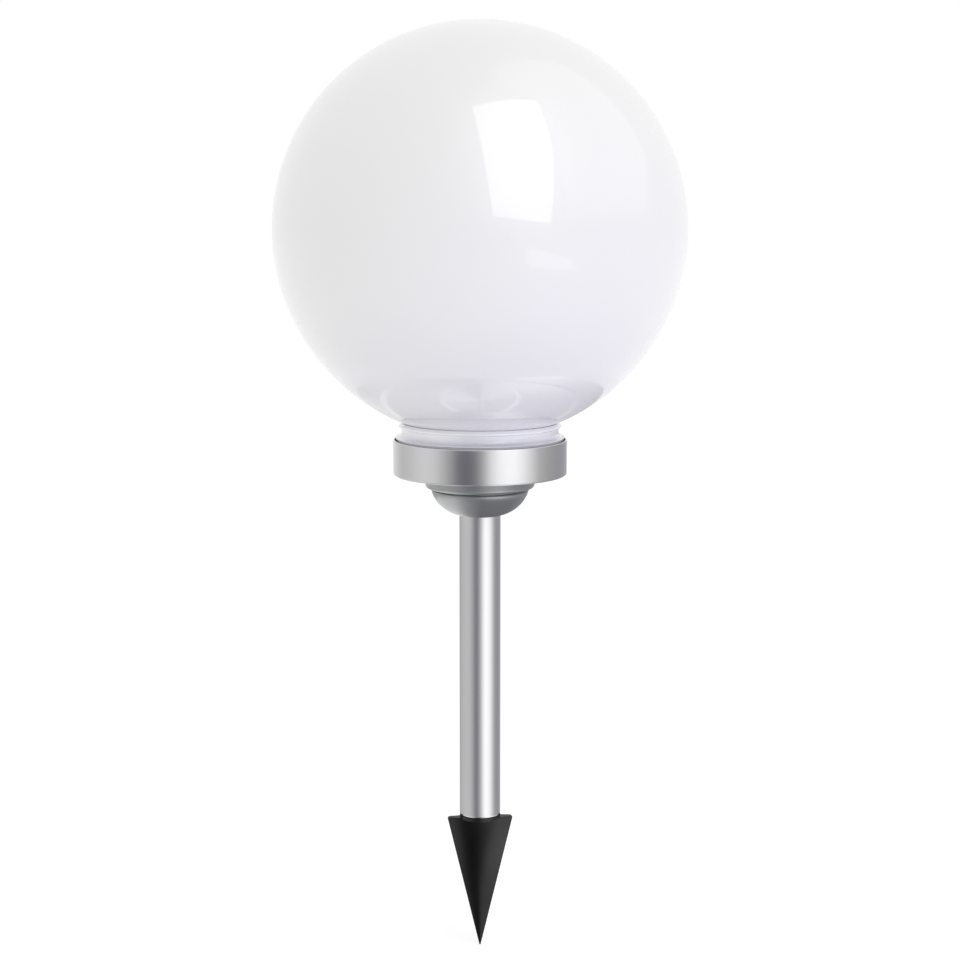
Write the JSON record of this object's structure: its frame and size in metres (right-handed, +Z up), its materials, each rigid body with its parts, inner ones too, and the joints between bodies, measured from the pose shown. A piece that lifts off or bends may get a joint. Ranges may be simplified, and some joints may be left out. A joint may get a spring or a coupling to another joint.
{
  "type": "garden globe light",
  "caption": "Solar garden globe light: milky plastic globe on a brushed metal band and pole, with a black ground spike",
  "frame": {"origin": "On the upright axis where the pole meets the spike, level with the soil when the spike is pushed in", "axes": "+Z up along the pole, -Y towards the viewer of the picture, +X to the viewer's right"},
  "size_m": [0.2499, 0.25, 0.5739],
  "materials": {
    "globe_opal": "milky blown plastic, high gloss",
    "neck_opal": "milky moulded plastic, gloss",
    "seal_rubber": "soft moulded rubber",
    "band_steel": "stainless, brushed round the band",
    "base_silver": "satin silver plastic",
    "dome_silver": "satin silver plastic",
    "pole_steel": "stainless tube, brushed along its length",
    "spike_black": "black moulded plastic, low gloss",
    "deck_white": "white moulded plastic",
    "panel_backing": "white laminate board",
    "cell_blue": "dark blue silicon under resin",
    "window_clear": "clear polycarbonate sheet",
    "frame_black": "black moulded plastic",
    "led_clear": "water-clear epoxy with yellow phosphor",
    "board_green": "green solder mask",
    "component_black": "black moulded component bodies",
    "battery_sleeve": "plain shrink sleeve over steel",
    "holder_black": "black moulded plastic",
    "contact_nickel": "nickel-plated spring steel",
    "switch_black": "black moulded plastic",
    "knob_black": "black moulded plastic with grip ridges",
    "lead_red": "red wire cover",
    "lead_black": "black wire cover",
    "lead_yellow": "yellow wire cover",
    "screw_zinc": "zinc-plated steel"
  },
  "bodies": {
    "stake": {"spike": "spike_black"},
    "pole": {"pole": "pole_steel"},
    "head": {"base_cup": "base_silver", "collar_band": "band_steel", "pole_socket": "dome_silver", "deck": "deck_white", "panel_board": "panel_backing", "solar_cells": "cell_blue", "panel_window": "window_clear", "panel_frame": "frame_black", "leds": "led_clear", "circuit_board": "board_green", "board_parts": "component_black", "battery": "battery_sleeve", "battery_holder": "holder_black", "battery_contacts": "contact_nickel", "switch_body": "switch_black", "panel_leads": "lead_red", "battery_leads": "lead_black", "switch_leads": "lead_yellow", "deck_screws": "screw_zinc", "board_screws": "screw_zinc", "socket_screws": "screw_zinc"},
    "seal": {"globe_seal": "seal_rubber"},
    "globe": {"globe": "globe_opal", "globe_neck": "neck_opal"},
    "switch": {"switch_knob": "knob_black"}
  },
  "joints": [
    {"name": "pole_lift", "type": "slide", "parent": "stake", "child": "pole", "axis": [0, 0, 1], "range_m": [0, 0.03]},
    {"name": "head_lift", "type": "slide", "parent": "pole", "child": "head", "axis": [0, 0, 1], "range_m": [0, 0.03]},
    {"name": "globe_lift", "type": "slide", "parent": "head", "child": "seal", "axis": [0, 0, 1], "range_m": [0, 0.03]},
    {"name": "globe_twist", "type": "hinge", "parent": "seal", "child": "globe", "pos_m": [0, 0, 0.2345], "axis": [0, 0, 1], "range_deg": [-30, 0]},
    {"name": "switch_slide", "type": "slide", "parent": "head", "child": "switch", "axis": [1, 0, 0], "range_m": [0, 0.003]}
  ]
}
